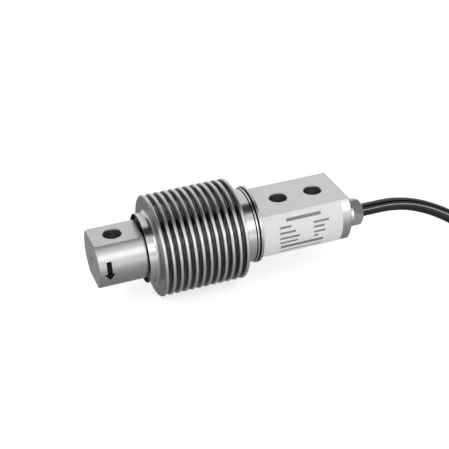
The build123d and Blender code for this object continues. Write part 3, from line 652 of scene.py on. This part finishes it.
def track_place(turns, half_width):
    """A place on the winding's oval track, counted in turns from the left end of its near straight."""
    straight = hank_right_x - hank_left_x
    bend = pi * half_width
    way = turns % 1 * 2 * (straight + bend)
    if way < straight:
        return hank_left_x + way, hank_middle_y - half_width
    way -= straight
    if way < bend:
        turned = way / half_width
        return hank_right_x + half_width * sin(turned), hank_middle_y - half_width * cos(turned)
    way -= bend
    if way < straight:
        return hank_right_x - way, hank_middle_y + half_width
    turned = (way - straight) / half_width
    return hank_left_x - half_width * sin(turned), hank_middle_y + half_width * cos(turned)


for step in range(round(outer_turns * steps_per_turn) + 1):
    turns = step / steps_per_turn
    rise = (strand_high - strand_low) * turns / outer_turns
    cable_points.append((*track_place(turns, hank_outer), strand_low + rise))
for step in range(1, inner_turns * steps_per_turn + 1):
    turns = step / steps_per_turn
    moved_in = min(1, turns / turns_to_move_in)
    half_width = hank_outer + (hank_inner - hank_outer) * moved_in
    drop = (strand_high - strand_low) * turns / inner_turns
    cable_points.append((*track_place(outer_turns + turns, half_width), strand_high - drop))
cable_points += [
    (190.9, 16.6, strand_low),
    (170.9, 16.6, strand_low),
    (153.58, 6.6, -9.09),
]

cable_line = bpy.data.curves.new("cable_line", "CURVE")
cable_line.dimensions = "3D"
cable_spline = cable_line.splines.new("NURBS")
cable_spline.points.add(len(cable_points) - 1)
for point, place in zip(cable_spline.points, cable_points):
    point.co = (*(Vector(place) * MM), 1)
cable_spline.order_u = 3
cable_spline.use_endpoint_u = True
cable_spline.resolution_u = 6
cable_line.bevel_depth = cable_radius * MM
cable_line.bevel_resolution = 5
cable_line.use_fill_caps = True
cable_cord = bpy.data.objects.new("cable_cord", cable_line)
bpy.context.collection.objects.link(cable_cord)
# The extruded sheath is smooth and glossy. A faint dusting dulls it in patches about 7 mm wide.
sheath = speckled_finish("black_polyurethane_sheath", shades=("#080808", "#101010"), speckle=(7, 7, 7),
                         roughness=(0.1, 0.18), relief=0.01, settings={"IOR": 1.48})
cable_line.materials.append(sheath)
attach(cable_cord, "root")
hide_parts("cable", "cable_hank", "cable_tail")

# Cores: tinned strands in extruded PVC, one colour each, bared where the sheath is cut back. The ones
# inside the gland are one piece, in grey. The PVC is half glossy, with waxy patches about 1 mm wide.
core_colours = [
    ("cable_core_ends", "grey_core_insulation", ("#5A5A5A", "#686868")),
    ("core_red", "red_core_insulation", ("#A81C18", "#BE2A22")),
    ("core_black", "black_core_insulation", ("#151515", "#202020")),
    ("core_green", "green_core_insulation", ("#1A6A34", "#24803F")),
    ("core_white", "white_core_insulation", ("#D8D8D4", "#E6E6E2")),
]
for core_name, insulation_name, insulation_shades in core_colours:
    insulation = speckled_finish(insulation_name, shades=insulation_shades, speckle=(1.2, 1.2, 1.2),
                                 roughness=(0.3, 0.42), relief=0.01, settings={"IOR": 1.53})
    dress([core_name], insulation)

# Shield tail: the cable's braid, combed out and twisted into one strand. Its tinned copper wires show as
# bright ridges. They are 0.1 mm thick and are drawn three times as wide.
braid = speckled_finish("tinned_copper_braid", shades=("#8C8A86", "#C2C0BC"), speckle=(0.3, 0.9, 0.3),
                        roughness=(0.3, 0.45), relief=0.06, settings={"Metallic": 1.0})
dress(["shield_tail"], braid)

# Ferrules: short tubes of tin-plated copper, crimped on the stripped ends. The tin is bright, with soft
# crimp dents a little under 1 mm wide.
tin_plate = speckled_finish("bright_tin_plate", shades=("#BDBBB6", "#D0CEC9"), speckle=(0.8, 0.8, 0.8),
                            roughness=(0.2, 0.32), relief=0.02, settings={"Metallic": 1.0})
dress(["core_ferrules"], tin_plate)

# Sleeve on the cable's end: polyolefin tube, shrunk on with hot air. That leaves it matt, with waves about
# 1 mm wide.
shrunk_tube = speckled_finish("shrunk_black_polyolefin", shades=("#141414", "#1E1E1E"), speckle=(1, 1, 1),
                              roughness=(0.5, 0.65), relief=0.02, settings={"IOR": 1.49})
dress(["end_sleeve"], shrunk_tube)

# Ties: moulded nylon straps, pulled tight round the winding. They are half matt. The grain of the mould is
# 0.2 mm wide and is drawn three times as wide.
nylon = speckled_finish("moulded_black_nylon", shades=("#181818", "#222222"), speckle=(0.6, 0.6, 0.6),
                        roughness=(0.4, 0.55), relief=0.01, settings={"IOR": 1.53})
dress(["tie_front_side", "tie_back_side"], nylon)

# Label: matt white polyester foil, glued round the block's side, with faint waves about 3 mm wide. Its
# print is only plain grey bars: a heading, four short lines in two columns and two rows at the foot.
label_foil = speckled_finish("matt_white_polyester_foil", shades=("#EEEEEE", "#F5F5F5"), speckle=(3, 3, 3),
                             roughness=(0.45, 0.55), relief=0.01, settings={"IOR": 1.45})
dress(["label"], label_foil)

print_radius = 17.385
line_height = 1.0
# Each bar: its name, its two ends along X, its height up the arc and how tall it is
label_bars = [
    ("heading", -11.3, 5.9, 7.9, 1.5),
    ("left_1", -14.9, -9.1, 4.7, line_height),
    ("left_2", -14.9, -7.1, 2.0, line_height),
    ("left_3", -14.9, -5.2, -0.7, line_height),
    ("left_4", -14.9, -6.0, -3.1, line_height),
    ("right_1", 1.9, 9.6, 4.2, line_height),
    ("right_2", 1.9, 7.1, 1.8, line_height),
    ("right_3", 1.9, 7.6, -0.8, line_height),
    ("right_4", 1.9, 4.1, -2.9, line_height),
    ("foot_1", -14.3, 6.9, -5.9, 1.8),
    ("foot_2", -13.8, 6.5, -9.1, 0.7),
]
# The ink is matt, in grey dots 0.1 mm wide that are drawn four to six times as wide.
print_ink = speckled_finish("grey_print_ink", shades=("#565656", "#A8A8A8"), speckle=(0.4, 0.6, 0.6),
                            roughness=(0.5, 0.6), relief=0.001, settings={"IOR": 1.45})
for bar_name, bar_start, bar_end, bar_height, bar_thickness in label_bars:
    bar_rows = [(bar_start, bar_end, bar_height + side * bar_thickness / 2) for side in (-1, 1)]
    label_print = curved_patch("label_print_" + bar_name, bar_rows, print_radius, print_ink, steps=4)
